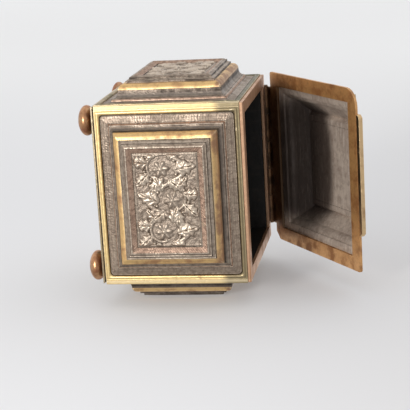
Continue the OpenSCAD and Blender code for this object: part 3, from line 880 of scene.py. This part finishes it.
# %% Hills that leaves and flowers are made of
FIELD_SPACING = 0.21
RELIEF = 1.35
BAYS = (-1, 0, 1)
SWING = 0.62


def leaf_hill(x, y, base, angle, length, width, bend):
    """A lobed leaf with a midrib and side veins, as heights from 0 to 1."""
    dx, dy = x - base[0], y - base[1]
    along = (dx * math.cos(angle) + dy * math.sin(angle)) / length
    aside = (-dx * math.sin(angle) + dy * math.cos(angle)) - bend * length * along ** 2
    s = np.clip(along, 0.0, 1.0)
    lobes = 1 + 0.2 * np.cos(2 * math.pi * 3.5 * s)
    half = width * np.sin(math.pi * s ** 0.7) * lobes + 1e-6
    t = np.abs(aside) / half
    dome = np.sqrt(np.clip(1 - t ** 2, 0.0, None)) * (0.6 + 0.4 * np.sin(math.pi * s))
    midrib = 0.4 * np.exp(-(aside / 0.3) ** 2)
    veins = 0.12 * np.cos(2 * math.pi * (3.5 * s - 1.4 * t))
    inside = (along > 0) & (along < 1) & (t < 1)
    return np.where(inside, dome * (1 + veins) - midrib * dome, 0.0)


def flower_hill(x, y, middle, radius, petals, turned):
    """A rosette of round petals about a boss."""
    dx, dy = x - middle[0], y - middle[1]
    r = np.hypot(dx, dy) / radius
    a = np.arctan2(dy, dx) + turned
    edge = 0.87 + 0.13 * np.cos(petals * a)
    petal = np.clip(1 - (r / edge) ** 4, 0.0, None) * (0.5 + 0.45 * np.cos(petals * a) * np.clip(r, 0, 1) + 0.2 * r)
    boss = np.sqrt(np.clip(1 - (r / 0.3) ** 2, 0.0, None))
    return np.maximum(np.where(r < edge, petal, 0.0) * 0.8, boss)


def stem_hill(x, y, points, radius):
    """A round stem along a chain of points."""
    height = np.zeros_like(x)
    for a, b in zip(points, points[1:]):
        way = np.array(b) - np.array(a)
        t = np.clip(((x - a[0]) * way[0] + (y - a[1]) * way[1]) / (way @ way), 0.0, 1.0)
        off = np.hypot(x - a[0] - t * way[0], y - a[1] - t * way[1]) / radius
        height = np.maximum(height, np.sqrt(np.clip(1 - off ** 2, 0.0, None)))
    return height * 0.7


def berry_hill(x, y, middle, radius):
    off = np.hypot(x - middle[0], y - middle[1]) / radius
    return np.sqrt(np.clip(1 - off ** 2, 0.0, None)) * 0.85


# %% A scroll of foliage
def scroll(x, y, length, width, seed):
    """A stem that waves through three bays. In each bay a shoot curls round a flower, with leaves outside."""
    chance = np.random.RandomState(seed)
    bay = length / 3
    swing = SWING * width / 2
    flip = -1 if seed % 2 else 1

    def stem_at(place):
        return (place, flip * swing * math.cos(math.pi * place / bay))

    points = [stem_at((i / 30 - 1) * (length / 2 - 1.5)) for i in range(61)]
    hills = [stem_hill(x, y, points, 1.15)]
    for k in BAYS:
        side = flip * (1 if k % 2 == 0 else -1)
        middle = (k * bay, -side * BAY_SHIFT)
        shoot = []
        for i in range(17):
            turned = math.pi + side * math.pi * 1.05 * i / 16
            radius = bay * 0.47 - 2.4 * i / 16
            shoot.append((middle[0] + radius * math.cos(turned), middle[1] + radius * 1.06 * math.sin(turned)))
        hills.append(0.75 * stem_hill(x, y, shoot, 0.75))
        hills.append(flower_hill(x, y, middle, FLOWER_R, 5 + seed % 3, chance.uniform(0, 1)))
        for around, size in LEAVES:
            turned = math.pi + side * math.radians(around)
            base = (middle[0] + bay * RING[0] * math.cos(turned), middle[1] + bay * RING[1] * math.sin(turned))
            heading = turned + side * 0.55 + chance.uniform(-0.12, 0.12)
            hills.append(leaf_hill(x, y, base, heading, size, size * LEAF_SHARE, -side * 0.12))
            berry = (base[0] + 2.1 * math.cos(turned - side * 0.9), base[1] + 2.1 * math.sin(turned - side * 0.9))
            hills.append(berry_hill(x, y, berry, 0.8))
    return np.maximum.reduce(hills)


LEAVES = ((20, 8.5), (62, 9.5), (110, 9.5), (152, 8.5), (212, 9.5), (262, 11.5), (314, 9.0))
LEAF_SHARE = 0.34
RING = (0.4, 0.42)
BAY_SHIFT = 2.4
FLOWER_R = 4.4


# %% Plaques
def relief_metal():
    """Rubbed silver on the tops, brown in the ground and darker in its hollows; the sharpest ridges are lightened
    further, as wear and as a painted highlight.
    """
    made, tree, shader, place = start_material("silvered_relief", 0.4, 0.85)
    fine = use_group(tree, TARNISH, Vector=place, Size_mm=2.2, Cover=0.46)
    broad = use_group(tree, TARNISH, Vector=place, Size_mm=11.0, Cover=0.45)
    relief = add_node(tree, "ShaderNodeAttribute", {"attribute_name": "relief"}).outputs["Fac"]
    ground = mix_colour(tree, fine, (0.40, 0.325, 0.26), (0.24, 0.185, 0.145))
    tops = mix_colour(tree, broad, (0.66, 0.55, 0.44), (0.46, 0.36, 0.28))
    colour = mix_colour(tree, spread(tree, relief, 0.15, 0.85), ground, tops)
    # Darker in the hollows that pointiness finds.
    hollow_dark = raised(tree, 0.485, 0.42)
    colour = mix_colour(tree, maths(tree, "MULTIPLY", hollow_dark, 0.85), colour, (0.065, 0.048, 0.038))
    # Wear and a painted highlight: the sharpest ridges are lightened to cream.
    bright = raised(tree, 0.52, 0.6)
    colour = mix_colour(tree, maths(tree, "MULTIPLY", bright, 0.7), colour, (0.84, 0.73, 0.58))
    plug(tree, shader.inputs["Base Color"], colour)
    plug(tree, shader.inputs["Roughness"], spread(tree, relief, 0.0, 1.0, 0.5, 0.38))
    beaten = use_group(tree, BEATEN, Vector=place, Size_mm=0.7)
    bump(tree, shader, maths(tree, "MULTIPLY", beaten, spread(tree, relief, 0.1, 0.6, 1.0, 0.5)), 0.12)
    return made


RELIEF_SILVER = relief_metal()


def make_plaque(side, seed):
    length = SIDE_SIZE[side][0] - 2 * (PLAQUE_AT + PLAQUE_FIT)
    width = SIDE_SIZE[side][1] - 2 * (PLAQUE_AT + PLAQUE_FIT)
    bm = bmesh.new()
    bmesh.ops.create_grid(bm, x_segments=round(length / FIELD_SPACING), y_segments=round(width / FIELD_SPACING), size=0.5)
    bmesh.ops.scale(bm, verts=bm.verts, vec=(length, width, 1))
    places = np.array([v.co[:] for v in bm.verts])
    x, y = places[:, 0], places[:, 1]
    hills = scroll(x, y, length, width, seed)
    inset = np.minimum(length / 2 - np.abs(x), width / 2 - np.abs(y))
    edge = np.clip(inset / 1.2, 0.0, 1.0)
    frame_line = 0.4 * np.exp(-((inset - 0.7) / 0.3) ** 2)
    hills = np.maximum(hills * edge, frame_line)
    layer = bm.verts.layers.float.new("relief")
    for v, hill, free in zip(bm.verts, hills, edge):
        at = Vector((v.co.x + seed * 31.0, v.co.y, 0))
        rough = 0.13 * noise.noise(at * 0.7) + 0.07 * noise.noise(at * 1.9)
        sway = 0.3 * noise.noise(at * 0.16)
        v[layer] = float(hill)
        v.co.z = LEDGE_H + PLAQUE_T + float(free) * (RELIEF * float(hill) + (rough + sway) * (1 - 0.4 * float(hill)))
    border = [e for e in bm.edges if e.is_boundary]
    skirt = bmesh.ops.extrude_edge_only(bm, edges=border)
    low = [v for v in skirt["geom"] if isinstance(v, bmesh.types.BMVert)]
    for v in low:
        v.co.z = LEDGE_H
    half_x, half_y = length / 2 - LEDGE_W, width / 2 - LEDGE_W
    under = []
    for drop in (0.0, SHEET_T):
        ring = bmesh.ops.extrude_edge_only(bm, edges=[e for e in bm.edges if e.is_boundary])["geom"]
        under += [f for f in ring if isinstance(f, bmesh.types.BMFace)]
        for v in ring:
            if isinstance(v, bmesh.types.BMVert):
                v.co = (max(-half_x, min(half_x, v.co.x)), max(-half_y, min(half_y, v.co.y)), LEDGE_H - drop)
    under += bmesh.ops.holes_fill(bm, edges=[e for e in bm.edges if e.is_boundary], sides=0)["faces"]
    for face in under:
        face.material_index = 1
    bmesh.ops.remove_doubles(bm, verts=bm.verts, dist=1e-4)
    bmesh.ops.recalc_face_normals(bm, faces=bm.faces)
    finish_piece(f"{side}_relief_plaque", bm, SIDES[side], [RELIEF_SILVER, INSIDE], BODY[side], "silvered_relief",
                 f"{side}_plaque", sharp=60)


for seed, side in enumerate(SIDES, start=1):
    make_plaque(side, seed)

# %% [markdown]
# ## Feet
# A bun foot is turned work, so half its outline is spun about the foot's axis. The points of the outline
# follow a flattened ball, and the stem that goes up through the bottom plate is part of the same turning.

# %% Bun feet
FOOT_TURNS = 56


def make_foot(corner):
    node = f"foot_{corner}"
    low, high = (Vector(c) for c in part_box(node))
    axis = Vector(((low.x + high.x) / 2, (low.y + high.y) / 2, 0))
    radius = (high.x - low.x) / 2 / MM
    plate_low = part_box("bottom_plate")[0][2] / MM
    top = high.z / MM
    flat, stem, mid = 3.0, 1.5, plate_low / 2
    start = -math.acos(flat / radius)
    outline = [(0, 0)]
    for i in range(29):
        a = start * (1 - i / 14)
        outline.append((radius * math.cos(a), mid + mid * math.sin(a) / math.sin(-start)))
    outline += [(stem, plate_low), (stem, top), (0, top)]
    bm = bmesh.new()
    chain = [bm.verts.new((r, 0, z)) for r, z in outline]
    edges = [bm.edges.new(pair) for pair in zip(chain, chain[1:])]
    bmesh.ops.spin(bm, geom=chain + edges, axis=(0, 0, 1), cent=(0, 0, 0), angle=2 * math.pi, steps=FOOT_TURNS,
                   use_merge=True)
    bmesh.ops.remove_doubles(bm, verts=bm.verts, dist=1e-4)
    bmesh.ops.recalc_face_normals(bm, faces=bm.faces)
    finish_piece(f"{corner}_bun_foot", bm, Matrix.Translation(axis), [FOOT_BRONZE], "case", "foot_bronze", node)


for corner in ("front_left", "front_right", "back_left", "back_right"):
    make_foot(corner)

# %% [markdown]
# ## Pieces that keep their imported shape
# The sheets, leaves and pin are right as they come. Their sharp edges catch no light, so a Weld joins the
# loose triangles and a Bevel softens the edges, and each takes its metal.

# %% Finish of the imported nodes
KEPT = {
    "bottom_plate": (PLATE_BRASS, 0.2),
    "foot_washers": (PLATE_BRASS, 0.1),
    "outer_shell": (SHELL_PATINA, 0.3),
    "corner_angles": (RIM_BRASS, 0.15),
    "inner_case": (LINER_BLACK, 0.2),
    "mouth_frame": (MOUTH_COPPER, 0.35),
    "lid_frame": (LID_BRASS, 0.3),
    "thumb_lip": (LIP_BRASS, 0.4),
    "hinge_case_leaf": (HINGE_BRONZE, 0.15),
    "hinge_lid_leaf": (HINGE_BRONZE, 0.15),
    "hinge_pin": (HINGE_BRONZE, 0.15),
}
for node, (metal, softness) in KEPT.items():
    piece = frame["nodes"][node]
    for slot in piece.material_slots:
        slot.material = metal
    weld = piece.modifiers.new("weld", "WELD")
    weld.merge_threshold = 0.001 * MM
    soft = piece.modifiers.new("softened_edges", "BEVEL")
    soft.width = softness * MM
    soft.segments = 3
    soft.limit_method = "ANGLE"
    soft.angle_limit = math.radians(40)
    soft.harden_normals = True
print("kept nodes:", len(KEPT))
